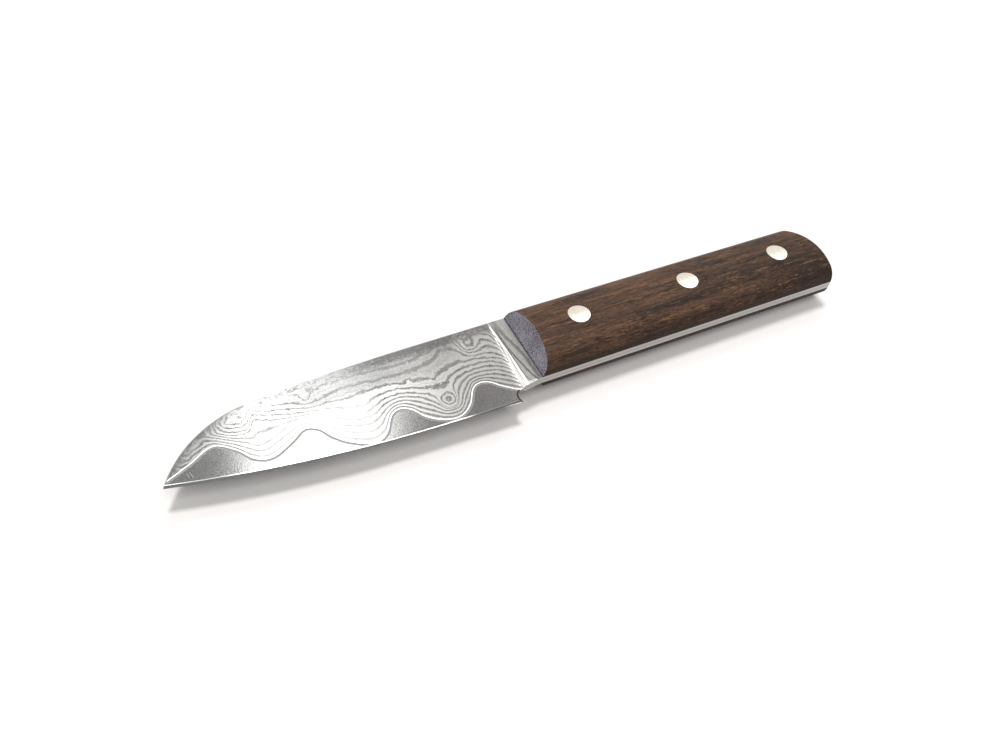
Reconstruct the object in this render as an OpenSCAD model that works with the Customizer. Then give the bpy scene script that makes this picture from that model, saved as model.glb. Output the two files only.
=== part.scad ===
// Small kitchen knife with a three-layer patterned blade and a riveted wooden handle.
// It lies on its right scale: the tip points to -X, the spine to +Y and the edge to -Y.
// The outline is drawn with x = 0 where the scales begin and y = 0 on the handle's centre line,
// and the finished pieces are then set down with the origin under the middle of the knife.

/* [Blade outline] */
// Length of the cutting edge along the handle's axis, from heel to tip
edge_l = 90.3; // [80:0.1:120]
// Distance from the front of the scales to the heel
heel_gap = 8; // [7:0.1:12]
// Depth of the heel below the handle's centre line
heel_drop = 16; // [15:0.1:16.4]
// Straight stretch of the edge, in front of the heel
edge_flat_l = 34; // [10:1:60]
// Angle at which the straight stretch rises towards the tip
edge_rake = 2.3; // [0:0.1:4]
// Radius of the curved stretch of the edge
edge_r = 294; // [220:1:600]
// Straight stretch of the spine, in front of the scales
spine_flat_l = 28; // [10:1:50]
// Radius of the gentle drop of the spine
spine_r = 500; // [400:10:900]
// Radius of the nose, where the spine comes down to the tip
nose_r = 32.7; // [28:0.1:45]
// Depth of the unground steel at the heel notch, below the handle's centre line
ricasso_drop = 12.3; // [12:0.1:13]
// Radius of the notch behind the heel
notch_r = 2.2; // [2.2:0.1:3]

/* [Blade grinding] */
// Thickness of the steel in the handle and at the ricasso
tang_t = 2.36; // [1.8:0.01:3]
// Thickness of the ground blade where the edge bevels begin
shoulder_t = 0.46; // [0.3:0.01:0.8]
// Angle of each edge bevel to the middle of the blade
bevel_a = 16; // [12:0.5:22]
// Length of unground steel at the spine, in front of the scales
ricasso_l = 5.3; // [4:0.1:7]
// Angle of the plunge line to the blade's depth
plunge_a = 3.8; // [0:0.1:5]
// Radius of the hollow that the plunge line ends in
plunge_r = 1.7; // [1:0.1:3]
// Depth that the grinding takes off each side of the spine at the plunge line
spine_relief = 0.05; // [0.02:0.01:0.2]

/* [Steel layers] */
// Share of the steel's thickness that the core takes
core_share = 0.34; // [0.2:0.01:0.5]

/* [Handle] */
// Length of the scales and of the tang between them
handle_l = 100.4; // [95:0.1:130]
// Width of the handle
handle_w = 22.9; // [22:0.1:23.8]
// Thickness of one scale at its crown
scale_h = 6.4; // [5.5:0.1:9]
// Radius of the scale's shoulders, where they come down to the tang
shoulder_r = 5; // [3:0.1:5.2]
// Angle at which the front of each scale leans back
front_rake = 25; // [0:1:40]
// Radius of the butt
butt_r = 40; // [25:1:80]
// Height of the butt's rearmost point below the handle's centre line
butt_drop = 7.4; // [0:0.1:10]

/* [Rivets] */
// Distance from the front of the scales to the first rivet
rivet_front = 16.9; // [12:0.1:20]
// Distance from the last rivet to the end of the butt
rivet_rear = 14.4; // [12:0.1:20]
// Place of the middle rivet, as a share of the way from the first to the last
rivet_middle_share = 0.525; // [0.4:0.005:0.6]
// Distance of the rivets from the handle's centre line, towards the spine
rivet_rise = 0.5; // [-2:0.1:2]
// Diameter of the rivet heads
head_d = 6.3; // [5.5:0.1:8]
// Outer diameter of the socket's tube
tube_d = 4.2; // [3.6:0.1:5]
// Diameter of the stud's shank
stud_d = 2.6; // [1.6:0.1:3]
// Thickness of the wood under each rivet head
seat_h = 3; // [2:0.1:4]
// Gap left at the end of each shank, so that the heads draw the scales up tight
shank_gap = 0.5; // [0.2:0.1:1]
// Radial clearance of a rivet in its bore
bore_gap = 0.04; // [0.02:0.01:0.1]
// Radial clearance of the stud in the socket
stud_gap = 0.02; // [0.01:0.01:0.05]

/* [Hidden] */
$fn = 120;

// How far a cut runs past the steel or wood that it goes through
overrun = 1;

// Line where the core comes to the surface, as a smooth curve through points from heel to tip.
// Each point has its place along the edge as a share of edge_l, and its depth below the centre
// line as a share of heel_drop.
wave_shares = [
    [-0.044, 0.850], [-0.006, 0.762], [0.037, 0.581], [0.062, 0.450], [0.091, 0.403],
    [0.117, 0.475], [0.148, 0.738], [0.193, 0.894], [0.246, 0.838], [0.286, 0.675],
    [0.309, 0.494], [0.339, 0.400], [0.370, 0.463], [0.405, 0.750], [0.445, 0.850],
    [0.505, 0.706], [0.545, 0.500], [0.571, 0.287], [0.608, 0.206], [0.653, 0.356],
    [0.715, 0.512], [0.760, 0.431], [0.795, 0.188], [0.848, -0.003], [0.917, 0.170],
    [0.984, 0.330], [1.052, 0.463]
];
wave_steps = 5;

half_w = handle_w / 2;
half_t = tang_t / 2;
knife_h = tang_t + 2 * scale_h;
blade_w = half_w + heel_drop;

heel = [-heel_gap, -heel_drop];
notch_y = -ricasso_drop - notch_r;
notch_x = heel.x + sqrt(pow(notch_r, 2) - pow(notch_y - heel.y, 2));

// The edge's straight stretch meets its arc at the knee, and the arc runs to the tip.
edge_along = [-cos(edge_rake), sin(edge_rake)];
edge_inward = [sin(edge_rake), cos(edge_rake)];
edge_centre = heel + edge_flat_l * edge_along + edge_r * edge_inward;
tip_x = heel.x - edge_l;
tip = [tip_x, edge_centre.y - sqrt(pow(edge_r, 2) - pow(tip_x - edge_centre.x, 2))];

// The nose is an arc through the tip that leaves the spine's own arc without a corner.
spine_centre = [-spine_flat_l, half_w - spine_r];
nose_reach = norm(tip - spine_centre);
nose_foot = (pow(nose_reach, 2) + pow(spine_r - nose_r, 2) - pow(nose_r, 2)) / (2 * nose_reach);
nose_off = sqrt(pow(spine_r - nose_r, 2) - pow(nose_foot, 2));
nose_dir = (tip - spine_centre) / nose_reach;
nose_centre = spine_centre + nose_foot * nose_dir + nose_off * [nose_dir.y, -nose_dir.x];
nose_turn = atan2(spine_centre.x - nose_centre.x, nose_centre.y - spine_centre.y);

// Slopes of the ground face across and along the blade. It leaves the spine at the plunge line
// and has the same thickness above the bevels at the heel as at the tip.
grind_drop = half_t - spine_relief - shoulder_t / 2;
heel_fall = [-ricasso_l, half_w] - heel;
tip_fall = [-ricasso_l, half_w] - tip;
fall_turn = heel_fall.x * tip_fall.y - heel_fall.y * tip_fall.x;
slope_along = grind_drop * (tip_fall.y - heel_fall.y) / fall_turn;
slope_across = grind_drop * (heel_fall.x - tip_fall.x) / fall_turn;

// The scale's section is a crown arc between two shoulder arcs that stand square on the tang.
shoulder_y = half_w - shoulder_r;
crown_r = (pow(half_w, 2) + pow(scale_h, 2) - 2 * half_w * shoulder_r) / (2 * (scale_h - shoulder_r));
crown_turn = atan2(crown_r - scale_h, shoulder_y);

rivet_span = handle_l - rivet_front - rivet_rear;
rivet_x = [for (share = [0, rivet_middle_share, 1]) rivet_front + share * rivet_span];
seat_z = half_t + seat_h;

wave_points = [for (share = wave_shares) [heel.x - share.x * edge_l, -share.y * heel_drop]];
wave_last = len(wave_points) - 1;

// Slope of the wavy line at one of its points, from the points on either side
function wave_slope(i) = let(before = wave_points[max(i - 1, 0)], after = wave_points[min(i + 1, wave_last)])
    (after.y - before.y) / (after.x - before.x);

// Point on the wavy line, part of the way from one of its points to the next
function wave_between(i, part) = let(
    from = wave_points[i], to = wave_points[i + 1], run = to.x - from.x,
    bend = (1 - part) * wave_slope(i) - part * wave_slope(i + 1)
) [
    from.x + run * part,
    from.y + (to.y - from.y) * pow(part, 2) * (3 - 2 * part) + run * part * (1 - part) * bend
];
wave_line = [for (i = [0:wave_last - 1], step = [0:wave_steps - 1]) wave_between(i, step / wave_steps)];

// Sets a piece that is drawn about the middle of the tang down on the ground
module placed() {
    translate([-(tip.x + handle_l) / 2, (heel_drop - half_w) / 2, knife_h / 2]) children();
}

// One side of a line through the origin at the given angle, on the left when looking along it
module left_of(angle, reach) {
    rotate(angle) translate([-reach, 0]) square([2 * reach, 2 * reach]);
}

// Blade below the spine: flat behind, a gentle drop, then the nose
module spine_outline() {
    difference() {
        translate([tip.x - overrun, -blade_w]) square([notch_x - tip.x + overrun, blade_w + half_w]);
        difference() {
            translate([tip.x - blade_w, -blade_w]) square([blade_w - tip.x - spine_flat_l, 3 * blade_w]);
            translate(spine_centre) circle(spine_r, $fn = 4 * $fn);
        }
        difference() {
            translate(nose_centre) left_of(nose_turn + 90, 2 * nose_r);
            translate(nose_centre) circle(nose_r);
        }
    }
}

// Unground steel between the scales and the heel notch
module ricasso_outline() {
    polygon([
        [overrun, half_w], [notch_x - overrun, half_w], [notch_x - overrun, -ricasso_drop],
        [notch_x, -ricasso_drop], [0, -half_w], [overrun, -half_w]
    ]);
}

// Tang as wide as the scales, with the round butt
module tang_outline() {
    intersection() {
        translate([0, -half_w]) square([handle_l, handle_w]);
        union() {
            translate([0, -half_w]) square([handle_l - butt_r, handle_w]);
            translate([handle_l - butt_r, -butt_drop]) circle(butt_r);
        }
    }
}

module steel_outline() {
    difference() {
        union() {
            spine_outline();
            ricasso_outline();
            tang_outline();
        }
        translate([notch_x, notch_y]) circle(notch_r);
    }
}

// What sharpening takes off both sides, along the straight and then the curved stretch of the edge
module sharpening() {
    rise = half_t + overrun;
    run = rise / tan(bevel_a);
    translate(heel) rotate([0, 0, -edge_rake]) {
        translate([-edge_flat_l - overrun, 0, 0]) rotate([90, 0, 90])
            linear_extrude(edge_flat_l + overrun + notch_r)
                polygon([[0, 0], [run, rise], [-blade_w, rise], [-blade_w, -rise], [run, -rise]]);
        intersection() {
            translate([-edge_flat_l, edge_r, 0]) rotate_extrude($fn = 4 * $fn)
                polygon([
                    [edge_r, 0], [edge_r - run, rise], [edge_r + blade_w, rise],
                    [edge_r + blade_w, -rise], [edge_r - run, -rise]
                ]);
            translate([-edge_flat_l - edge_l, -blade_w, -rise]) cube([edge_l, 3 * blade_w, 2 * rise]);
        }
    }
}

// What the grinding takes off the upper side, or a share of it for the core inside
module grinding(share) {
    lean_along = atan(share * slope_along);
    lean_across = atan(share * slope_across * cos(lean_along));
    rise = tang_t;
    translate([-ricasso_l, half_w, share * (half_t - spine_relief)])
        rotate([lean_across, -lean_along, 0]) rotate([0, 0, -plunge_a])
            translate([0, blade_w, 0]) rotate([90, 0, 0]) linear_extrude(3 * blade_w) {
                translate([-edge_l - heel_gap, 0]) square([edge_l + heel_gap, rise]);
                intersection() {
                    translate([0, plunge_r]) circle(plunge_r);
                    square([plunge_r, plunge_r]);
                }
                translate([0, plunge_r]) square([plunge_r, rise]);
            }
}

// Steel of the whole knife, or of a share of its thickness, with the ground faces
module ground_steel(share) {
    difference() {
        translate([0, 0, -share * half_t]) linear_extrude(share * tang_t) steel_outline();
        grinding(share);
        mirror([0, 0, 1]) grinding(share);
    }
}

module rivet_bores(d, from, to) {
    for (x = rivet_x) translate([x, rivet_rise, from]) cylinder(d = d, h = to - from);
}

// Finished steel: ground, bevelled to the edge and bored for the rivets
module finished_steel(share) {
    difference() {
        ground_steel(share);
        sharpening();
        rivet_bores(tube_d + 2 * bore_gap, -tang_t, tang_t);
    }
}

// Stretch below the wavy line, where the core is bare on both sides
module bare_core_space() {
    translate([0, 0, -tang_t]) linear_extrude(2 * tang_t)
        polygon(concat([[notch_x, -2 * heel_drop]], wave_line,
                       [wave_points[wave_last], [tip.x - overrun, -2 * heel_drop]]));
}

module blade_core() {
    color("dimgray") placed() {
        finished_steel(core_share);
        intersection() {
            finished_steel(1);
            bare_core_space();
        }
    }
}

module cladding() {
    difference() {
        finished_steel(1);
        translate([tip.x - overrun, -blade_w, -tang_t])
            cube([handle_l - tip.x + 2 * overrun, 2 * blade_w, tang_t]);
        ground_steel(core_share);
        bare_core_space();
    }
}

module cladding_left() {
    color("gainsboro") placed() cladding();
}

module cladding_right() {
    color("gainsboro") placed() mirror([0, 0, 1]) cladding();
}

// Half section of the handle: a crown arc and two shoulder arcs above the tang
module scale_section() {
    difference() {
        intersection() {
            translate([-half_w, 0]) square([handle_w, scale_h + overrun]);
            translate([0, scale_h - crown_r]) circle(crown_r, $fn = 2 * $fn);
        }
        for (side = [0, 1]) mirror([side, 0]) translate([shoulder_y, 0]) difference() {
            left_of(crown_turn + 180, 2 * shoulder_r);
            circle(shoulder_r);
        }
    }
}

// One scale before it is bored, standing on the upper side of the tang
module scale_blank() {
    translate([0, 0, half_t]) difference() {
        intersection() {
            rotate([90, 0, 90]) linear_extrude(handle_l) scale_section();
            linear_extrude(scale_h + overrun) tang_outline();
        }
        rotate([0, front_rake, 0]) translate([-handle_l, -handle_w, -handle_l])
            cube([handle_l, 2 * handle_w, 2 * handle_l]);
    }
}

module scale_half() {
    difference() {
        scale_blank();
        rivet_bores(tube_d + 2 * bore_gap, 0, knife_h);
        rivet_bores(head_d + 2 * bore_gap, seat_z, knife_h);
    }
}

module scale_left() {
    color("#4a352a") placed() scale_half();
}

module scale_right() {
    color("#4a352a") placed() mirror([0, 0, 1]) scale_half();
}

// Rivet head, dressed flush with the crown of the scale
module rivet_head(x) {
    intersection() {
        translate([x, rivet_rise, seat_z]) cylinder(d = head_d, h = scale_h);
        scale_blank();
    }
}

// Upper half of a rivet: a head with a tube that takes the stud
module rivet_socket(x) {
    rivet_head(x);
    tube_l = 2 * seat_z - shank_gap;
    translate([x, rivet_rise, shank_gap - seat_z]) difference() {
        cylinder(d = tube_d, h = tube_l);
        translate([0, 0, -overrun]) cylinder(d = stud_d + 2 * stud_gap, h = tube_l + overrun);
    }
}

// Lower half of a rivet: a head with a solid shank
module rivet_stud(x) {
    mirror([0, 0, 1]) rivet_head(x);
    translate([x, rivet_rise, -seat_z]) cylinder(d = stud_d, h = 2 * seat_z - shank_gap);
}

module rivet_socket_front() {
    color("wheat") placed() rivet_socket(rivet_x[0]);
}

module rivet_socket_middle() {
    color("wheat") placed() rivet_socket(rivet_x[1]);
}

module rivet_socket_rear() {
    color("wheat") placed() rivet_socket(rivet_x[2]);
}

module rivet_stud_front() {
    color("wheat") placed() rivet_stud(rivet_x[0]);
}

module rivet_stud_middle() {
    color("wheat") placed() rivet_stud(rivet_x[1]);
}

module rivet_stud_rear() {
    color("wheat") placed() rivet_stud(rivet_x[2]);
}

blade_core();
cladding_left();
cladding_right();
scale_left();
scale_right();
rivet_socket_front();
rivet_socket_middle();
rivet_socket_rear();
rivet_stud_front();
rivet_stud_middle();
rivet_stud_rear();
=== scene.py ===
"""Kitchen knife with a patterned three-layer blade: finishes, floor, light and camera."""

import math

import bpy
from mathutils import Matrix, Vector


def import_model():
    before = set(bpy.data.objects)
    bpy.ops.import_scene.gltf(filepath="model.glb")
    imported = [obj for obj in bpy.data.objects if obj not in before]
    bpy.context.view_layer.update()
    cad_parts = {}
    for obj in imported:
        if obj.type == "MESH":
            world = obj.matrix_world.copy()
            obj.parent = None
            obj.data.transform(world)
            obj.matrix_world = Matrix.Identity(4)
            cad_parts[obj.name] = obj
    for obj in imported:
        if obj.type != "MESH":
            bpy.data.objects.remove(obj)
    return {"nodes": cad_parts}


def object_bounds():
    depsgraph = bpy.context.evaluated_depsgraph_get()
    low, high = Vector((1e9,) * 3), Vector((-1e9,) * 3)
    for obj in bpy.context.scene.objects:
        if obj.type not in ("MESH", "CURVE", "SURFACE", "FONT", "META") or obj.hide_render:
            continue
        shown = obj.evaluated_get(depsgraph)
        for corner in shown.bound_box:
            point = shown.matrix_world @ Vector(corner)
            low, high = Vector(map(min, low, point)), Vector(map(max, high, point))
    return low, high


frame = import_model()
cad_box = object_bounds()

MM = 0.001

# The knife's outline is drawn in millimetres with x = 0 where the scales begin, y = 0 on the
# handle's centre line and z = 0 in the middle of the steel.
EDGE_L = 90.3
HEEL_GAP = 8.0
HEEL_DROP = 16.0
EDGE_FLAT_L = 34.0
EDGE_RAKE = math.radians(2.3)
EDGE_R = 294.0
SPINE_FLAT_L = 28.0
SPINE_R = 500.0
NOSE_R = 32.7
TANG_T = 2.36
RICASSO_L = 5.3
PLUNGE_A = math.radians(3.8)
HANDLE_W = 22.9
FRONT_RAKE = math.radians(25)
HEAD_D = 6.3
RIVET_RISE = 0.5
RIVETS_X = (16.9, 53.18, 86.0)
RICASSO_DROP = 12.3
NOTCH_R = 2.2

HALF_W = HANDLE_W / 2
HALF_T = TANG_T / 2
TIP_X = -HEEL_GAP - EDGE_L
NOTCH_Y = -RICASSO_DROP - NOTCH_R
NOTCH_X = -HEEL_GAP + math.sqrt(NOTCH_R ** 2 - (NOTCH_Y + HEEL_DROP) ** 2)
DRAWING_X = cad_box[0][0] / MM - TIP_X
DRAWING_Y = cad_box[1][1] / MM - HALF_W
DRAWING_Z = (cad_box[0][2] + cad_box[1][2]) / 2 / MM

# Where the curves along the blade start, and the lowest and highest value that each can take.
CURVE_START = TIP_X - 2
WAVE_RANGE = (-16.0, 2.0)
EDGE_RANGE = (-18.0, 0.0)
LAYER_RANGE = (-18.0, 12.0)
SPINE_RANGE = (0.0, 12.0)
# Lowest and highest y of the curves that run across the blade.
ACROSS_RANGE = (-13.0, 12.0)

# Line where the core comes to the surface, from heel to tip, as in the solids: each point's place
# along the edge as a share of EDGE_L, and its depth below the centre line as a share of HEEL_DROP.
WAVE_SHARES = (
    (-0.044, 0.850), (-0.006, 0.762), (0.037, 0.581), (0.062, 0.450), (0.091, 0.403),
    (0.117, 0.475), (0.148, 0.738), (0.193, 0.894), (0.246, 0.838), (0.286, 0.675),
    (0.309, 0.494), (0.339, 0.400), (0.370, 0.463), (0.405, 0.750), (0.445, 0.850),
    (0.505, 0.706), (0.545, 0.500), (0.571, 0.287), (0.608, 0.206), (0.653, 0.356),
    (0.715, 0.512), (0.760, 0.431), (0.795, 0.188), (0.848, -0.003), (0.917, 0.170),
    (0.984, 0.330), (1.052, 0.463),
)
WAVE_POINTS = tuple((-HEEL_GAP - along * EDGE_L, -depth * HEEL_DROP) for along, depth in WAVE_SHARES)

# Heights of layers 3, 5, 6, 7, 8 and 9 of the fold pattern, in millimetres at each x along the blade.
LAYERS_AT = (3.0, 5.0, 6.0, 7.0, 8.0, 9.0)
LAYER_HEIGHTS = (
    (-5.0, (-11.5, -8.5, -7.0, -5.3, -3.7, -1.3)),
    (-6.5, (-8.7, -5.2, -3.8, -1.9, -0.4, 2.2)),
    (-9.0, (-6.3, -3.1, -1.5, -0.1, 1.7, 4.4)),
    (-12.0, (-4.8, -2.0, -0.5, 1.0, 2.6, 4.3)),
    (-15.3, (-4.3, -1.7, -0.2, 1.5, 3.2, 5.5)),
    (-17.2, (-4.4, -1.8, -0.1, 1.5, 6.0, 9.5)),
    (-18.5, (-4.9, -1.9, -0.3, 1.8, 7.4, 9.9)),
    (-21.5, (-7.8, -3.0, -0.9, 1.2, 7.2, 9.6)),
    (-23.0, (-10.1, -4.8, -1.8, 0.9, 6.6, 9.0)),
    (-24.5, (-11.4, -10.0, -3.0, 0.6, 5.6, 8.4)),
    (-27.5, (-11.3, -9.9, -2.9, -0.2, 4.6, 7.6)),
    (-29.0, (-10.4, -6.0, -2.9, 0.2, 4.4, 7.2)),
    (-31.0, (-8.1, -4.3, -2.3, 0.4, 4.2, 7.0)),
    (-35.0, (-5.0, -2.3, -0.8, 0.9, 4.1, 7.0)),
    (-38.3, (-4.0, -1.8, -0.1, 1.8, 4.3, 7.3)),
    (-42.0, (-5.1, -2.2, -0.3, 2.1, 4.6, 7.6)),
    (-46.0, (-7.6, -3.9, -1.7, 2.3, 5.0, 8.0)),
    (-50.0, (-7.3, -3.2, -1.5, 1.7, 5.0, 8.6)),
    (-54.0, (-5.4, -1.7, 0.1, 2.2, 4.4, 8.1)),
    (-58.0, (-2.2, 0.0, 1.0, 2.2, 3.8, 7.5)),
    (-62.5, (-0.8, 0.9, 1.9, 3.3, 4.9, 7.9)),
    (-67.0, (-1.4, 1.7, 3.1, 4.6, 6.5, 8.9)),
    (-71.0, (-3.0, 2.8, 4.6, 5.9, 7.4, 9.7)),
    (-73.4, (-3.8, 4.0, 5.3, 6.3, 7.7, 9.8)),
    (-75.3, (-3.4, 1.3, 2.2, 3.5, 5.0, 6.6)),
    (-76.7, (-2.0, 1.0, 1.8, 2.9, 4.2, 5.7)),
    (-80.0, (0.0, 1.6, 2.5, 3.6, 4.7, 5.9)),
    (-85.0, (2.4, 3.9, 4.8, 5.8, 7.0, 8.2)),
    (-88.5, (1.0, 2.4, 3.2, 4.2, 5.4, 6.6)),
    (-92.0, (-1.2, 0.2, 1.0, 2.0, 3.2, 4.4)),
    (-98.5, (-3.5, -2.0, -1.0, 0.2, 1.4, 2.6)),
)

# Places where the fold pattern swirls: x, y, layers raised, and reach along x and y.
SWIRLS = (
    (-25.9, -8.1, 1.85, 1.35, 1.35),
    (-25.9, -5.3, -0.35, 1.5, 0.8),
    (-25.8, -3.6, 0.25, 0.5, 0.8),
    (-13.2, 6.1, 1.45, 1.6, 1.5),
    (-60.1, 6.2, 0.75, 0.60, 1.30),
    (-59.0, 6.2, 0.75, 0.60, 1.30),
    (-73.2, 1.6, 0.5, 0.6, 0.6),
    (-33.2, 1.4, -0.35, 0.5, 0.9),
    (-26.8, -0.2, 0.35, 0.5, 1.0),
)

# Lines on the ricasso, each from the spine down as y and x: its points, half width, blur and strength.
RICASSO_LINES = (
    (((11.5, -3.9), (8.5, -4.0), (4.0, -4.2), (1.0, -4.0), (-2.5, -3.4), (-5.5, -2.9), (-9.0, -2.2),
      (-12.3, -1.0)), 0.17, 0.26, 0.95),
    (((11.5, -3.4), (8.5, -3.2), (5.0, -2.7), (2.5, -2.1), (0.0, -1.5), (-3.0, -1.0), (-7.5, -0.8),
      (-12.3, -0.6)), 0.30, 0.45, 0.80),
    (((11.5, -4.7), (2.0, -4.3), (-3.5, -4.2), (-7.0, -4.2), (-9.5, -3.9), (-11.0, -3.3), (-12.3, -2.0)),
     0.07, 0.14, 0.95),
)
# Middle of the painted highlight on the facet at the plunge line, and the thin line that splits it.
PLUNGE_LINE = (
    (11.5, -5.15), (6.5, -4.95), (2.5, -4.90), (-1.5, -5.0), (-5.5, -5.2), (-9.5, -5.25), (-12.3, -5.3),
)
PLUNGE_SPLIT = (
    (11.5, -4.9), (2.5, -4.8), (-1.5, -4.85), (-5.5, -5.05), (-9.5, -5.1), (-12.3, -5.1),
)


def srgb(red, green, blue):
    """Linear colour of an 8-bit screen colour."""
    shares = (value / 255 for value in (red, green, blue))
    return tuple(s / 12.92 if s <= 0.04045 else ((s + 0.055) / 1.055) ** 2.4 for s in shares)


class Field:
    """A value that varies over a surface: a shader node's output, with plain arithmetic."""

    def __init__(self, tree, socket):
        self.tree = tree
        self.socket = socket

    def __add__(self, other):
        return calculate(self.tree, "ADD", self, other)

    def __sub__(self, other):
        return calculate(self.tree, "SUBTRACT", self, other)

    def __rsub__(self, other):
        return calculate(self.tree, "SUBTRACT", other, self)

    def __mul__(self, other):
        return calculate(self.tree, "MULTIPLY", self, other)

    def __truediv__(self, other):
        return calculate(self.tree, "DIVIDE", self, other)

    def __pow__(self, other):
        return calculate(self.tree, "POWER", self, other)

    def __neg__(self):
        return calculate(self.tree, "MULTIPLY", self, -1.0)

    __radd__ = __add__
    __rmul__ = __mul__

    def exp(self):
        return calculate(self.tree, "EXPONENT", self)

    def fract(self):
        return calculate(self.tree, "FRACT", self)

    def abs(self):
        return calculate(self.tree, "ABSOLUTE", self)

    def least(self, other):
        return calculate(self.tree, "MINIMUM", self, other)

    def most(self, other):
        return calculate(self.tree, "MAXIMUM", self, other)

    def step(self, low, high):
        """Goes smoothly from 0 at low to 1 at high, or down where low is above high."""
        if not isinstance(low, Field) and low > high:
            return 1.0 - self.step(high, low)
        node = self.tree.nodes.new("ShaderNodeMapRange")
        node.interpolation_type = "SMOOTHSTEP"
        feed(self.tree, node.inputs["Value"], self)
        feed(self.tree, node.inputs["From Min"], low)
        feed(self.tree, node.inputs["From Max"], high)
        return Field(self.tree, node.outputs["Result"])

    def band(self, centre, half_width, blur):
        """1 within half_width of centre, and 0 beyond the blur."""
        return (self - centre).abs().step(half_width + blur, half_width)


def feed(tree, socket, value):
    """Links a field to a socket, or sets a plain number or colour on it."""
    if isinstance(value, Field):
        tree.links.new(value.socket, socket)
    elif isinstance(value, tuple) and socket.type == "RGBA":
        socket.default_value = (*value, 1.0)
    else:
        socket.default_value = value


def calculate(tree, operation, *values):
    node = tree.nodes.new("ShaderNodeMath")
    node.operation = operation
    for socket, value in zip(node.inputs, values):
        feed(tree, socket, value)
    return Field(tree, node.outputs["Value"])


def mix(amount, first, second):
    """Colour that goes from first to second as amount goes from 0 to 1."""
    tree = amount.tree
    node = tree.nodes.new("ShaderNodeMix")
    node.data_type = "RGBA"
    colours = [socket for socket in node.inputs if socket.type == "RGBA"]
    feed(tree, node.inputs["Factor"], amount)
    feed(tree, colours[0], first)
    feed(tree, colours[1], second)
    return Field(tree, next(socket for socket in node.outputs if socket.type == "RGBA"))


def shade(colour, amount):
    """The colour times a grey that varies."""
    tree = amount.tree
    node = tree.nodes.new("ShaderNodeVectorMath")
    node.operation = "SCALE"
    feed(tree, node.inputs["Vector"], colour)
    feed(tree, node.inputs["Scale"], amount)
    return Field(tree, node.outputs["Vector"])


def lerp(amount, first, second):
    """Field that goes from first to second as amount goes from 0 to 1."""
    return amount * (second - first) + first


class Surface:
    """A material's node tree, with the place and the normal of each point in the knife's drawing."""

    def __init__(self, name):
        self.material = bpy.data.materials.new(name)
        self.material.use_nodes = True
        self.tree = self.material.node_tree
        self.shader = self.tree.nodes["Principled BSDF"]
        place = self.split(self.tree.nodes.new("ShaderNodeTexCoord").outputs["Object"])
        self.x = place[0] / MM - DRAWING_X
        self.y = place[1] / MM - DRAWING_Y
        self.z = place[2] / MM - DRAWING_Z
        geometry = self.tree.nodes.new("ShaderNodeNewGeometry")
        self.facing = self.split(geometry.outputs["Normal"])

    def split(self, socket):
        node = self.tree.nodes.new("ShaderNodeSeparateXYZ")
        self.tree.links.new(socket, node.inputs["Vector"])
        return [Field(self.tree, output) for output in node.outputs]

    def join(self, x, y, z):
        node = self.tree.nodes.new("ShaderNodeCombineXYZ")
        for socket, value in zip(node.inputs, (x, y, z)):
            feed(self.tree, socket, value)
        return Field(self.tree, node.outputs["Vector"])

    def noise(self, along_x, along_y, along_z=0.0, detail=2.0, shift=0.0):
        """Noise, mostly from -1 to 1, with about that many waves to a millimetre along each axis."""
        node = self.tree.nodes.new("ShaderNodeTexNoise")
        place = self.join(self.x * along_x + shift, self.y * along_y + shift, self.z * along_z)
        feed(self.tree, node.inputs["Vector"], place)
        feed(self.tree, node.inputs["Scale"], 1.0)
        feed(self.tree, node.inputs["Detail"], detail)
        return Field(self.tree, node.outputs["Fac"]) * 4.0 - 2.0

    def curve(self, value, start, end, low, high, formula, points=160):
        """A curve of value over start to end, taken from a formula that gives low to high."""
        node = self.tree.nodes.new("ShaderNodeFloatCurve")
        line = node.mapping.curves[0]
        for i in range(points + 1):
            part = i / points
            level = (formula(start + part * (end - start)) - low) / (high - low)
            if i in (0, points):
                line.points[0 if i == 0 else -1].location = (part, level)
            else:
                line.points.new(part, level)
        node.mapping.update()
        feed(self.tree, node.inputs["Value"], (value - start) / (end - start))
        return Field(self.tree, node.outputs["Value"]) * (high - low) + low

    def bump(self, height):
        """Normal of the surface with a relief whose height is in millimetres."""
        node = self.tree.nodes.new("ShaderNodeBump")
        feed(self.tree, node.inputs["Strength"], 1.0)
        feed(self.tree, node.inputs["Distance"], MM)
        feed(self.tree, node.inputs["Height"], height)
        return Field(self.tree, node.outputs["Normal"])

    def finish(self, **values):
        for name, value in values.items():
            feed(self.tree, self.shader.inputs[name.replace("_", " ")], value)
        return self.material


def smooth_line(points):
    """Formula of the smooth curve through points that run towards the tip."""
    def slope(i):
        before = points[max(i - 1, 0)]
        after = points[min(i + 1, len(points) - 1)]
        return (after[1] - before[1]) / (after[0] - before[0])

    def height(x):
        for i in range(len(points) - 1):
            start, end = points[i], points[i + 1]
            if end[0] <= x <= start[0]:
                run = end[0] - start[0]
                part = (x - start[0]) / run
                bend = (1 - part) * slope(i) - part * slope(i + 1)
                rise = (end[1] - start[1]) * part ** 2 * (3 - 2 * part)
                return start[1] + rise + run * part * (1 - part) * bend
        return points[0][1] if x > points[0][0] else points[-1][1]

    return height


wave_y = smooth_line(WAVE_POINTS)


def wave_lean(x):
    """Cosine of the line's slope, which turns a height above it into a distance from it."""
    reach = 0.3
    slope = (wave_y(x + reach) - wave_y(x - reach)) / (2 * reach)
    return math.cos(math.atan(slope))


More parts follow.
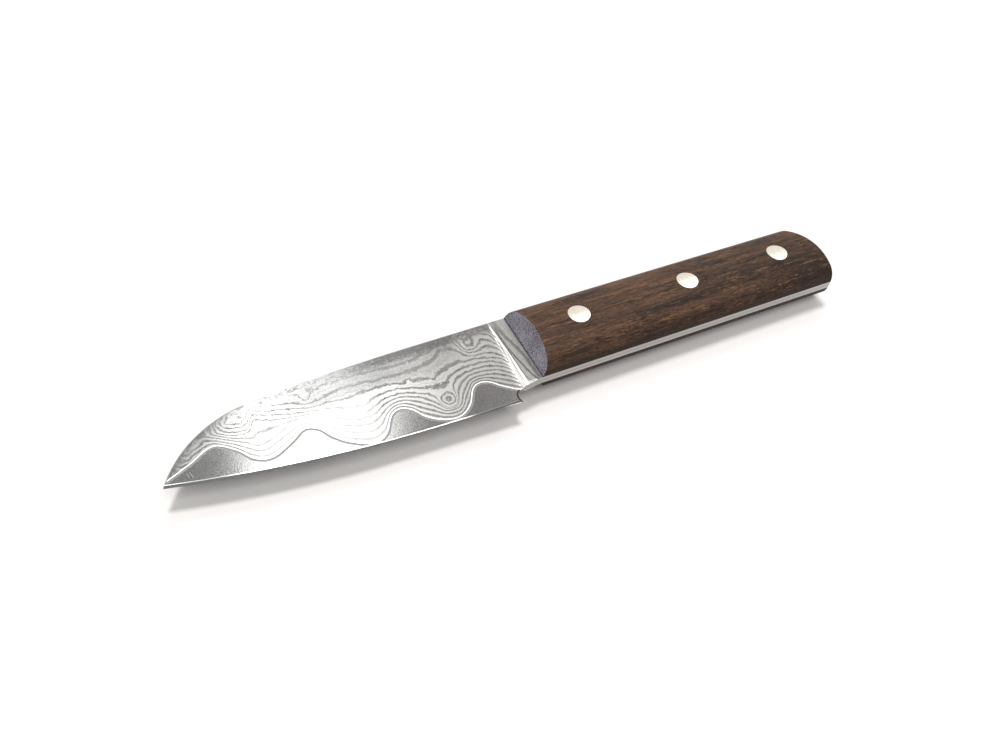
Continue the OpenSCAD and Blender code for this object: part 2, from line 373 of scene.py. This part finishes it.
def nose_centre():
    """Centre of the nose's arc, which leaves the spine's arc without a corner and ends at the tip."""
    tip = (TIP_X, edge_y(TIP_X))
    spine = (-SPINE_FLAT_L, HALF_W - SPINE_R)
    reach = math.dist(tip, spine)
    foot = (reach ** 2 + (SPINE_R - NOSE_R) ** 2 - NOSE_R ** 2) / (2 * reach)
    off = math.sqrt((SPINE_R - NOSE_R) ** 2 - foot ** 2)
    along = ((tip[0] - spine[0]) / reach, (tip[1] - spine[1]) / reach)
    return (spine[0] + foot * along[0] + off * along[1], spine[1] + foot * along[1] - off * along[0])


def edge_y(x):
    """Height of the cutting edge: straight in front of the heel, then an arc to the tip."""
    heel = (-HEEL_GAP, -HEEL_DROP)
    knee = (heel[0] - EDGE_FLAT_L * math.cos(EDGE_RAKE), heel[1] + EDGE_FLAT_L * math.sin(EDGE_RAKE))
    if x > knee[0]:
        return heel[1] - (x - heel[0]) * math.tan(EDGE_RAKE)
    centre = (knee[0] + EDGE_R * math.sin(EDGE_RAKE), knee[1] + EDGE_R * math.cos(EDGE_RAKE))
    return centre[1] - math.sqrt(EDGE_R ** 2 - (x - centre[0]) ** 2)


def spine_y(x):
    """Height of the spine: straight in front of the handle, then a long arc."""
    run = min(x + SPINE_FLAT_L, 0.0)
    return HALF_W - SPINE_R + math.sqrt(SPINE_R ** 2 - run ** 2)


# Steel: the share of light that each finish mirrors, with the levels of the painted highlights, glint, dark
# reflections and shade among them, its roughness and its tint

CORE_LEVEL = 0.20
FRINGE_LEVEL = 0.165
BEVEL_SHADE_LEVEL = 0.062
EDGE_HIGHLIGHT_LEVEL = 0.93
HEEL_GLINT_LEVEL = 0.7
SCRATCH_LEVEL = 0.42
NOTCH_SHADE_LEVEL = 0.045
BLADE_SIDE_SHADE_LEVEL = 0.05
TANG_SIDE_LEVEL = 0.34
LIGHT_LAYER_LEVEL = 0.41
DARK_LAYER_LEVEL = 0.10
SHORE_LEVEL = 0.95
DARK_OUTLINE_LEVEL = 0.16
RICASSO_LEVEL = 0.255
RICASSO_FOOT_HIGHLIGHT_LEVEL = 0.80
PLUNGE_HIGHLIGHT_LEVEL = 0.90
CLADDING_SIDE_LEVEL = 0.42
CORE_ROUGHNESS = 0.105
GROUND_ROUGHNESS = 0.48
SIDE_ROUGHNESS = 0.3
CLADDING_ROUGHNESS = 0.28
SIDE_TINT = (1.0, 0.95, 0.925)
CORE_TINTS = ((1.0, 1.0, 0.97), (1.0, 0.955, 0.93))
CLADDING_TINTS = ((1.0, 1.0, 0.975), (1.0, 0.975, 0.93))

# Height over the edge of the strip painted dark as the bevel's dark reflection, and what it gains at the tip
# and at the heel.
STRIP_H = 0.30
STRIP_TIP_H = 0.55
STRIP_HEEL_H = 0.45
# Scratches: x at the upper end, upper and lower end, and lean.
SCRATCHES = ((-91.6, -4.9, -6.6, 0.24), (-92.3, -5.0, -6.2, 0.25))
# Layer count at the wavy line, and layers to a millimetre above the highest row of heights.
FIRST_LAYER = 0.35
LAYERS_ABOVE = 0.42
# Distance over which the nose's rim cuts through the layers, and how many it cuts.
RIM_REACH = 1.7
RIM_LAYERS = 4.5


class Steel(Surface):
    """Steel of the blade and tang, with the fields that its three layers share."""

    def __init__(self, name):
        super().__init__(name)
        self.wave = self.curve(self.x, CURVE_START, 0.0, *WAVE_RANGE, wave_y)
        self.wave_lean = self.curve(self.x, CURVE_START, 0.0, 0.0, 1.0, wave_lean)
        self.edge = self.curve(self.x, CURVE_START, 0.0, *EDGE_RANGE, edge_y)
        self.on_face = self.facing[2].abs().step(0.90, 0.94)
        self.side = self.facing[2].abs().step(0.5, 0.3)
        self.past_plunge = self.x + RICASSO_L + (HALF_W - self.y) * math.tan(PLUNGE_A)
        self.above_wave = (self.y - self.wave) * self.wave_lean
        self.above_edge = self.y - self.edge


def edge_strip(steel):
    """Height over the cutting edge of the strip painted dark as the ground bevel's dark reflection, which is
    narrowest behind its middle.
    """
    to_tip = steel.x.step(-30.0, -75.0) * STRIP_TIP_H
    to_heel = steel.x.step(-26.0, -6.0) * STRIP_HEEL_H
    return to_tip + to_heel + STRIP_H


def edge_highlight(steel, strip):
    """Painted highlight: a bright line above the dark strip, which thins to the tip and fades out before the
    heel.
    """
    half_width = 0.11 - steel.x.step(-78.0, -90.0) * 0.06
    line = (steel.above_edge - strip).band(0.0, half_width, 0.08) * steel.on_face
    heel_fade = lerp(steel.x.step(-20.5, -25.0), 0.10, 1.0)
    tip_fade = 1.0 - steel.x.step(-72.0, -90.0) * 0.40
    return line * heel_fade * tip_fade


def scratches(steel):
    """Two fine scratches on the core near the tip."""
    lines = None
    for x, top, bottom, lean in SCRATCHES:
        along = steel.x - x + (steel.y - top) * lean
        length = steel.y.step(bottom - 0.2, bottom) * steel.y.step(top + 0.2, top)
        line = along.band(0.0, 0.02, 0.10) * length
        lines = line if lines is None else lines.most(line)
    return lines


def core_steel():
    """Dark core: a fine grey polish, bare below the wavy line, with ground edge bevels painted dark as their
    dark reflection, a painted highlight over them, a painted glint at the heel, a painted dark reflection
    round the notch and painted shade on the blade's side faces.
    """
    steel = Steel("core_steel")
    cloud = steel.noise(0.25, 0.3, detail=3.0, shift=7.0)
    speckle = steel.noise(2.7, 2.7, 2.7, detail=2.0, shift=3.0)
    brushed = steel.noise(0.9, 3.2, 2.0, detail=2.0, shift=90.0)
    strip = edge_strip(steel)
    on_bevel = steel.facing[2].abs().step(0.997, 0.990) * steel.above_edge.step(1.6, 1.2)
    # Painted dark reflection: the ground bevel's strip over the edge is near-black.
    bevel_shade = on_bevel * (steel.above_edge - strip).step(0.08, -0.02)
    fringe = (steel.above_wave + speckle * 0.08).step(-0.70, -0.52) * steel.on_face
    # Painted glint: a light line right at the edge near the heel.
    heel_glint = steel.above_edge.step(0.12, 0.04) * steel.x.step(-14.5, -11.0) * on_bevel
    # Painted dark reflection: a dark crescent on the face round the heel notch.
    from_notch = ((steel.x - NOTCH_X) ** 2.0 + (steel.y - NOTCH_Y) ** 2.0) ** 0.5 - NOTCH_R
    notch_shade = from_notch.step(0.50, 0.36) * steel.x.step(-12.0, -11.0)
    level = CORE_LEVEL + cloud * 0.010 + speckle * 0.040 + brushed * 0.014
    level = lerp(fringe, level, FRINGE_LEVEL + speckle * 0.03)
    level = lerp(bevel_shade, level, BEVEL_SHADE_LEVEL + brushed * 0.008)
    # Painted highlight: a bright line along the top of the dark edge strip.
    level = lerp(edge_highlight(steel, strip), level, EDGE_HIGHLIGHT_LEVEL)
    level = lerp(heel_glint, level, HEEL_GLINT_LEVEL)
    level = lerp(scratches(steel) * steel.on_face, level, SCRATCH_LEVEL)
    level = lerp(notch_shade, level, NOTCH_SHADE_LEVEL)
    # Painted shade: the blade's side faces are near-black, the tang's sides lighter.
    side_level = lerp(steel.past_plunge.step(-1.5, 0.0), BLADE_SIDE_SHADE_LEVEL, TANG_SIDE_LEVEL)
    level = lerp(steel.side, level, side_level)
    tint = mix(steel.x.step(-60.0, -10.0), *CORE_TINTS)
    roughness = lerp(fringe.most(bevel_shade), CORE_ROUGHNESS + speckle * 0.012, GROUND_ROUGHNESS)
    return steel.finish(
        Base_Color=shade(mix(steel.side, tint, SIDE_TINT), level),
        Metallic=1.0,
        Roughness=roughness.most(steel.side * SIDE_ROUGHNESS),
        Normal=steel.bump(brushed * 0.0003 + speckle * 0.0011),
    )


def layer_count(steel):
    """How many layers lie between the core and the surface, so that its contours are the pattern."""
    fine = steel.noise(2.6, 0.8, detail=2.0)
    coarse = steel.noise(0.8, 0.5, detail=1.0, shift=5.0)
    high = steel.above_wave.step(2.0, 7.0)
    y = steel.y + fine * (0.12 + high * 0.08) + coarse * (0.05 + high * 0.18)
    heights = [steel.wave]
    for i in range(len(LAYERS_AT)):
        line = smooth_line([(x, row[i]) for x, row in LAYER_HEIGHTS])
        heights.append(steel.curve(steel.x, CURVE_START, 0.0, *LAYER_RANGE, line))
    counts = (FIRST_LAYER,) + LAYERS_AT
    count = (y - heights[-1]).most(0.0) * LAYERS_ABOVE + FIRST_LAYER
    for i in range(len(LAYERS_AT)):
        share = ((y - heights[i]) / (heights[i + 1] - heights[i])).most(0.0).least(1.0)
        count = count + share * (counts[i + 1] - counts[i])
    for x, centre_y, layers, reach_x, reach_y in SWIRLS:
        off = ((steel.x - x) / reach_x) ** 2.0 + ((y - centre_y) / reach_y) ** 2.0
        count = count + (off * -0.5).exp() * layers
    return count


def outline_distance(steel):
    """Distance down from the blade's spine and nose."""
    nose = nose_centre()
    off_nose = ((steel.x - nose[0]) ** 2.0 + (steel.y - nose[1]) ** 2.0) ** 0.5
    from_nose = NOSE_R - off_nose + (steel.x - nose[0]).step(0.0, 4.0) * EDGE_L
    spine = steel.curve(steel.x, CURVE_START, 0.0, *SPINE_RANGE, spine_y)
    return from_nose.least(spine - steel.y).most(0.0)


def across(steel, points):
    """Distance, along the blade, from the line through points given as y and x from the spine down."""
    xs = [x for _, x in points]
    line = steel.curve(steel.y, *ACROSS_RANGE, min(xs) - 1.0, max(xs) + 1.0, smooth_line(points), points=60)
    return steel.x - line


def ricasso_lines(steel):
    """Soft dark lines that run down the ricasso and lean towards the handle."""
    wander = steel.noise(1.1, 0.5, detail=3.0, shift=40.0) * 0.18
    patches = steel.noise(1.9, 1.1, detail=3.0, shift=33.0)
    fade = lerp(steel.y.step(11.0, 6.0), 0.55, 1.0)
    lines = steel.x.step(-0.35, -0.02) * 0.5
    for points, half_width, blur, strength in RICASSO_LINES:
        off = across(steel, points) + wander
        lines = lines.most(off.band(0.0, half_width, blur) * (strength + patches * 0.30) * fade)
    return lines


def plunge_highlight(steel):
    """Painted highlight on the facet at the plunge line, which widens towards the edge and is split by a
    thin line.
    """
    wide = steel.y.step(11.0, 2.0) * 0.16 + steel.y.step(4.0, -9.0) * 0.62
    facet = across(steel, PLUNGE_LINE).band(0.0, wide, 0.24) * steel.y.step(11.2, 8.0)
    split = across(steel, PLUNGE_SPLIT).band(0.0, 0.06, 0.16)
    split = split * steel.y.step(3.0, -1.0) * steel.y.step(-11.4, -10.0)
    return facet * (1.0 - split)


class FoldedSteel(Steel):
    """Steel of the outer layers, with the zones over which its lines and its polish change, and its painted
    highlight at the plunge line.
    """

    def __init__(self, name):
        super().__init__(name)
        self.streaks = self.noise(5.0, 0.9, 3.0, detail=3.0)
        self.drift = self.noise(0.35, 0.5, detail=2.0, shift=11.0)
        self.grit = self.noise(2.6, 2.6, detail=2.0, shift=60.0)
        self.mottle = self.noise(1.1, 1.4, detail=3.0, shift=80.0)
        self.inward = outline_distance(self)
        self.nose = self.x.step(-72.0, -84.0)
        self.nose_rim = (self.inward / -RIM_REACH).exp() * self.nose
        self.spine_zone = self.inward.step(4.4, 1.2)
        self.behind_nose = self.spine_zone * self.x.step(-82.0, -70.0)
        self.ricasso = across(self, PLUNGE_LINE).step(-0.1, 0.1)
        # Painted highlight on the facet at the plunge line.
        self.plunge = plunge_highlight(self)
        self.shore = self.above_wave.band(0.12, 0.075, 0.06) * (1.0 - self.ricasso)


def fold_count(steel):
    """The layer count, made uneven, and crowded where the nose cuts through the layers."""
    high = steel.above_wave.step(3.0, 9.0)
    sway = 0.05 + high * 0.12 + steel.spine_zone * 0.45 + steel.behind_nose * 0.30
    count = layer_count(steel) - steel.nose_rim * RIM_LAYERS + steel.drift * sway
    return count + steel.grit * (0.05 + count.step(4.0, 8.0) * 0.08 + steel.behind_nose * 0.14)


def fold_lines(steel, count, upper):
    """Dark lines along the contours of the layer count, with faint ones between them higher up."""
    thin = steel.x.step(-62.0, -68.0) * steel.x.step(-90.0, -82.0)
    width = 0.46 - steel.above_wave.step(1.0, 8.0) * 0.10 - steel.x.step(-40.0, -50.0) * 0.10
    width = width + steel.nose_rim * 0.50 - thin * 0.05
    soft = 0.09 + steel.spine_zone * 0.10 - steel.behind_nose * 0.05
    off_contour = ((count + 0.5).fract() - 0.5).abs()
    line = 1.0 - ((off_contour - width / 2 + soft) / (soft * 2.0)).step(0.0, 1.0)
    between = ((count * 2.0 + 0.5).fract() - 0.5).abs().step(0.16, 0.05) * count.step(5.5, 6.5)
    line = line.most(between * (0.42 + steel.grit * 0.18) * steel.x.step(-16.0, -22.0))
    patches = steel.noise(0.6, 0.9, detail=1.0, shift=21.0)
    shallow = steel.y.step(2.0, -1.5) * steel.x.step(-41.0, -46.0) * steel.x.step(-80.0, -74.0)
    strength = 0.86 + patches * 0.20 + steel.grit * 0.10
    strength = strength * (1.0 - steel.spine_zone * 0.35 + steel.behind_nose * 0.28)
    strength = strength * (1.0 - upper * 0.20) * (1.0 - shallow * 0.35)
    return line * strength * (1.0 - steel.x.band(-52.0, 5.0, 4.0) * 0.18)


def ground_level(steel, upper):
    """How light the steel between the lines is, on the blade and on the ricasso, with painted shade where
    the blade's gloss falls off and painted highlights at the plunge line and the ricasso's foot.
    """
    level = LIGHT_LAYER_LEVEL + steel.streaks * 0.022 + steel.grit * 0.014
    level = level + steel.drift * steel.spine_zone * 0.03
    # Painted shade: the ground is darker towards the heel and the tip, where the blade's gloss falls off,
    # and over a patch in the middle of the blade under its glare.
    level = level * (1.0 - steel.x.step(-45.0, -20.0) * 0.24 - steel.x.step(-77.0, -88.0) * 0.30)
    middle = steel.y.step(0.5, 3.5) * steel.x.band(-49.0, 7.0, 14.0)
    level = level * (1.0 - middle * (0.34 + steel.grit * 0.16))
    shaded = (steel.spine_zone * 0.52 + upper * 0.28) * steel.x.step(-58.0, -32.0)
    shaded = shaded * (1.0 + steel.mottle * 0.45 + steel.grit * 0.20)
    level = level * (1.0 - shaded.least(0.70))
    level = level * (1.0 - steel.nose_rim * (0.66 + steel.mottle * 0.20))
    ricasso_level = RICASSO_LEVEL + steel.streaks * 0.02 + steel.grit * 0.035 + steel.mottle * 0.035
    level = lerp(steel.ricasso, level, ricasso_level)
    # Painted highlight: a bright band along the ricasso's lower edge.
    level = lerp(steel.y.step(-10.9, -11.5) * steel.ricasso * 0.45, level, RICASSO_FOOT_HIGHLIGHT_LEVEL)
    # Painted highlight: a faint glow that spreads round the plunge line over the ground.
    highlight_glow = steel.past_plunge.band(-0.1, 0.15, 0.9) * steel.y.step(11.0, -3.0) * 0.20
    return lerp(steel.plunge.most(highlight_glow), level, PLUNGE_HIGHLIGHT_LEVEL)


def dark_outline(steel):
    """Thin dark line along the spine and the nose."""
    kept = steel.x.step(-72.0, -78.0).most(steel.x.step(-52.0, -46.0))
    return steel.inward.step(0.34, 0.14) * kept * (1.0 - steel.ricasso) * steel.on_face


def cladding_steel():
    """Outer layer: folded steel with light and dark lines that follow the layers' contours."""
    steel = FoldedSteel("cladding_steel")
    count = fold_count(steel)
    upper = count.step(6.6, 8.0) * steel.x.step(-15.0, -19.0) * steel.x.step(-54.0, -48.0)
    folds = fold_lines(steel, count, upper) * (1.0 - steel.ricasso)
    folds = folds.most(ricasso_lines(steel) * steel.ricasso) * (1.0 - steel.plunge)
    folds = folds * (1.0 - steel.shore) * steel.on_face
    level = lerp(folds, ground_level(steel, upper), DARK_LAYER_LEVEL - steel.nose * 0.05)
    level = lerp(steel.shore * steel.on_face, level, SHORE_LEVEL)
    level = lerp(dark_outline(steel), level, DARK_OUTLINE_LEVEL)
    strata = steel.noise(0.05, 0.3, 9.0, detail=1.0)
    level = lerp(steel.side, level, CLADDING_SIDE_LEVEL + strata * 0.04)
    tint = mix(steel.x.step(-50.0, -5.0), *CLADDING_TINTS)
    return steel.finish(
        Base_Color=shade(mix(steel.side, tint, SIDE_TINT), level),
        Metallic=1.0,
        Roughness=CLADDING_ROUGHNESS + folds * 0.06 + steel.ricasso * 0.07,
        Normal=steel.bump(steel.streaks * 0.0008 - folds * 0.003),
    )


# Wood and rivets

WOOD_DARK = srgb(37, 27, 22)
WOOD_BROWN = srgb(110, 80, 60)
WOOD_BRIGHT = srgb(136, 97, 64)
WOOD_BLACK = srgb(28, 20, 17)
WOOD_PORE = srgb(20, 14, 12)
WOOD_SIDE_SHADE = srgb(26, 20, 17)
WOOD_SEAM = srgb(20, 15, 13)
FRONT_DARK = srgb(93, 88, 101)
FRONT_LIGHT = srgb(190, 185, 194)
FRONT_ARRIS_HIGHLIGHT = srgb(150, 108, 60)
WOOD_ROUGHNESS = 0.52
WOOD_GLOSS = 0.17
RIVET_COLOUR = (0.80, 0.73, 0.62)
RIVET_ROUGHNESS = 0.20


def seams(grain, height, ripple, front):
    """Dark seams of the scales, along the steel and round the rivet heads."""
    off_steel = grain.z.abs() - HALF_T
    seam = off_steel.step(0.22, 0.06).most(off_steel.step(0.42, 0.16) * front)
    for x in RIVETS_X:
        off = ((grain.x - x) ** 2.0 + (height - ripple * 0.09 - RIVET_RISE) ** 2.0) ** 0.5
        seam = seam.most((off - HEAD_D / 2).step(0.14, 0.04))
    return seam


def wood():
    """Dark, coarse-grained wood with orange-brown and near-black streaks along the handle, painted shade on
    its sideways faces and a painted highlight along the arris behind the front faces.
    """
    grain = Surface("wood")
    height = grain.y
    ripple = grain.noise(0.30, 0.25, 0.25, detail=3.0, shift=2.0)
    broad = grain.noise(0.05, 0.22, 0.22, detail=1.0, shift=6.0)
    grain.y = height + ripple * 0.26
    bands = grain.noise(0.035, 0.55, 0.55, detail=5.0, shift=4.0)
    dark = grain.noise(0.070, 1.00, 1.00, detail=5.0, shift=50.0)
    bright = grain.noise(0.080, 1.15, 1.15, detail=5.0, shift=14.0)
    flecks = grain.noise(0.35, 2.4, 2.4, detail=3.0, shift=9.0)
    fibres = grain.noise(0.9, 4.0, 4.0, detail=3.0, shift=70.0)
    pore = grain.noise(0.35, 3.2, 3.2, detail=2.0, shift=30.0).step(-0.60, -1.15)
    speckle = grain.noise(3.2, 3.2, 3.2, detail=2.0, shift=17.0)
    shift = height * 0.026 - grain.x * 0.0085 + 0.23
    tone = (bands * 0.9 + broad * 0.4 + flecks * 0.70 + fibres * 0.80 + shift).step(-1.6, 1.7)
    colour = mix(tone, WOOD_DARK, WOOD_BROWN)
    colour = mix((bright + flecks * 0.5 + fibres * 0.4).step(0.25, 1.15) * 0.72, colour, WOOD_BRIGHT)
    colour = mix((dark - flecks * 0.5).step(0.15, 0.85) * 0.85, colour, WOOD_BLACK)
    colour = mix(pore * 0.8, colour, WOOD_PORE)
    # Painted shade: wood faces turned fully sideways, along the scales next to the tang, are darkened.
    colour = mix(grain.facing[1].abs().step(0.90, 0.99) * 0.55, colour, WOOD_SIDE_SHADE)
    front = (-grain.facing[0]).step(0.70, 0.85)
    colour = mix(front, colour, mix((speckle + broad * 0.2).step(-0.8, 0.8), FRONT_DARK, FRONT_LIGHT))
    # Painted highlight: a golden line on the rounded arris just behind the front faces.
    behind_front = grain.x - (grain.z.abs() - HALF_T) * math.tan(FRONT_RAKE)
    arris_highlight = behind_front.band(0.60, 0.04, 0.12) * (1.0 - front) * (bright + speckle * 0.4).step(-0.2, 0.8)
    colour = mix(arris_highlight * 0.5, colour, FRONT_ARRIS_HIGHLIGHT)
    colour = mix(seams(grain, height, ripple, front) * 0.8, colour, WOOD_SEAM)
    relief = flecks * 0.008 - pore * 0.03 + bands * 0.004 + speckle * front * 0.012
    return grain.finish(
        Base_Color=colour,
        Roughness=WOOD_ROUGHNESS + pore * 0.2 + front * 0.2 + fibres * 0.05,
        Specular_IOR_Level=WOOD_GLOSS,
        Normal=grain.bump(relief),
    )


def rivet_metal():
    """Nickel silver of the rivets, dressed flush with the wood and lightly brushed."""
    metal = Surface("rivet_metal")
    brushed = metal.noise(7.0, 0.5, 0.5, detail=2.0)
    cloud = metal.noise(0.5, 0.5, 0.5, detail=2.0, shift=5.0)
    return metal.finish(
        Base_Color=shade(RIVET_COLOUR, 0.97 + brushed * 0.03 + cloud * 0.02),
        Metallic=1.0,
        Roughness=RIVET_ROUGHNESS + brushed * 0.04,
        Normal=metal.bump(brushed * 0.0008),
    )


def dress(materials):
    """Gives each CAD node the finish that its name starts with."""
    for name, node in frame["nodes"].items():
        material = next(m for start, m in materials.items() if name.startswith(start))
        for slot in node.material_slots:
            slot.link = "OBJECT"
            slot.material = material


# Studio

FLOOR_HALF = 3.0
FLOOR_ALBEDO = 0.30
FLOOR_SEEN = (1.0, 0.972, 0.950)
FLOOR_LIFT = 0.02
FLOOR_FAR_LIFT = 0.90
FLOOR_FAR = (0.12, 1.5)
FLOOR_ROUGHNESS = 0.9
WORLD_LEVEL = 0.30
LAMP_DISTANCE = 2.0
KNIFE_CENTRE = (0.0, 0.0, 0.0)
BLADE_CENTRE = (-0.062, 0.0, 0.0086)
# Lamps: name, direction from the knife, width and height in radians as the knife sees them,
# radiance, and the place that they face.
LAMPS = (
    ("overhead_softbox", (0.0, 0.21, 0.975), 0.18, 0.18, 44.0, KNIFE_CENTRE),
    ("front_softbox", (0.0, -0.42, 0.90), 0.50, 0.50, 3.7, KNIFE_CENTRE),
    ("rear_softbox", (0.176, 0.55, 0.83), 0.164, 0.24, 5.6, BLADE_CENTRE),
    ("rear_reflector", (0.272, 0.52, 0.82), 0.028, 0.24, 2.0, BLADE_CENTRE),
    ("side_reflector", (0.545, 0.375, 0.75), 0.32, 0.24, 2.3, KNIFE_CENTRE),
)


def seen_rays(tree):
    """1 for rays that show the background: straight, mirrored, or through glass."""
    path = tree.nodes.new("ShaderNodeLightPath")
    camera_ray, glossy_ray, transmission_ray = (
        Field(tree, path.outputs[name]) for name in ("Is Camera Ray", "Is Glossy Ray", "Is Transmission Ray")
    )
    return camera_ray.most(glossy_ray).most(transmission_ray)


def floor():
    """Plain pale floor that the knife lies on, white where it is seen in full light."""
    mesh = bpy.data.meshes.new("floor")
    corners = [(x * FLOOR_HALF, y * FLOOR_HALF, 0.0) for x, y in ((-1, -1), (1, -1), (1, 1), (-1, 1))]
    mesh.from_pydata(corners, [], [(0, 1, 2, 3)])
    ground = bpy.data.objects.new("floor", mesh)
    bpy.context.scene.collection.objects.link(ground)
    material = bpy.data.materials.new("floor_paper")
    material.use_nodes = True
    tree = material.node_tree
    paper = tree.nodes["Principled BSDF"]
    seen = seen_rays(tree)
    feed(tree, paper.inputs["Base Color"], mix(seen, (FLOOR_ALBEDO,) * 3, FLOOR_SEEN))
    paper.inputs["Roughness"].default_value = FLOOR_ROUGHNESS
    paper.inputs["Specular IOR Level"].default_value = 0.0
    paper.inputs["Emission Color"].default_value = (1.0, 1.0, 1.0, 1.0)
    place = tree.nodes.new("ShaderNodeTexCoord")
    distance = tree.nodes.new("ShaderNodeVectorMath")
    distance.operation = "LENGTH"
    tree.links.new(place.outputs["Object"], distance.inputs[0])
    far = Field(tree, distance.outputs["Value"]).step(*FLOOR_FAR)
    feed(tree, paper.inputs["Emission Strength"], seen * lerp(far, FLOOR_LIFT, FLOOR_FAR_LIFT))
    mesh.materials.append(material)


def world():
    """Even light all round, which the lens and shiny surfaces see as white."""
    surroundings = bpy.data.worlds.new("studio")
    bpy.context.scene.world = surroundings
    surroundings.use_nodes = True
    tree = surroundings.node_tree
    background = tree.nodes["Background"]
    background.inputs["Color"].default_value = (1.0, 1.0, 1.0, 1.0)
    feed(tree, background.inputs["Strength"], lerp(seen_rays(tree), WORLD_LEVEL, 1.0))


def softbox(name, direction, width, height, radiance, target):
    """Rectangular lamp that faces its target from the same distance as the others."""
    lamp = bpy.data.lights.new(name, "AREA")
    lamp.shape = "RECTANGLE"
    lamp.size = width * LAMP_DISTANCE
    lamp.size_y = height * LAMP_DISTANCE
    lamp.energy = radiance * math.pi * lamp.size * lamp.size_y
    box = bpy.data.objects.new(name, lamp)
    bpy.context.scene.collection.objects.link(box)
    towards = Vector(direction).normalized()
    box.location = Vector(target) + towards * LAMP_DISTANCE
    box.rotation_euler = towards.to_track_quat("Z", "Y").to_euler()


def lights():
    for lamp in LAMPS:
        softbox(*lamp)


# Camera: its place, the directions of its axes and its focal length in pixels of the photograph

CAMERA_PLACE = (-0.102937, -0.139252, 0.201797)
CAMERA_RIGHT = (0.88631, -0.45105, 0.10509)
CAMERA_DOWN = (-0.28827, -0.71488, -0.63706)
FOCAL_PX = 957.536
PHOTO_WIDTH_PX = 1000
SENSOR_WIDTH = 36.0
CLIP_START = 0.01


def camera():
    data = bpy.data.cameras.new("camera")
    data.sensor_fit = "HORIZONTAL"
    data.sensor_width = SENSOR_WIDTH
    data.lens = FOCAL_PX / PHOTO_WIDTH_PX * SENSOR_WIDTH
    data.clip_start = CLIP_START
    view = bpy.data.objects.new("camera", data)
    bpy.context.scene.collection.objects.link(view)
    right = Vector(CAMERA_RIGHT).normalized()
    back = right.cross(-Vector(CAMERA_DOWN)).normalized()
    up = back.cross(right)
    axes = Matrix((right, up, back)).transposed()
    view.matrix_world = Matrix.Translation(CAMERA_PLACE) @ axes.to_4x4()
    bpy.context.scene.camera = view


dress({
    "blade_core": core_steel(),
    "cladding": cladding_steel(),
    "scale": wood(),
    "rivet": rivet_metal(),
})
floor()
world()
lights()
camera()
bpy.context.scene.view_settings.view_transform = "Standard"
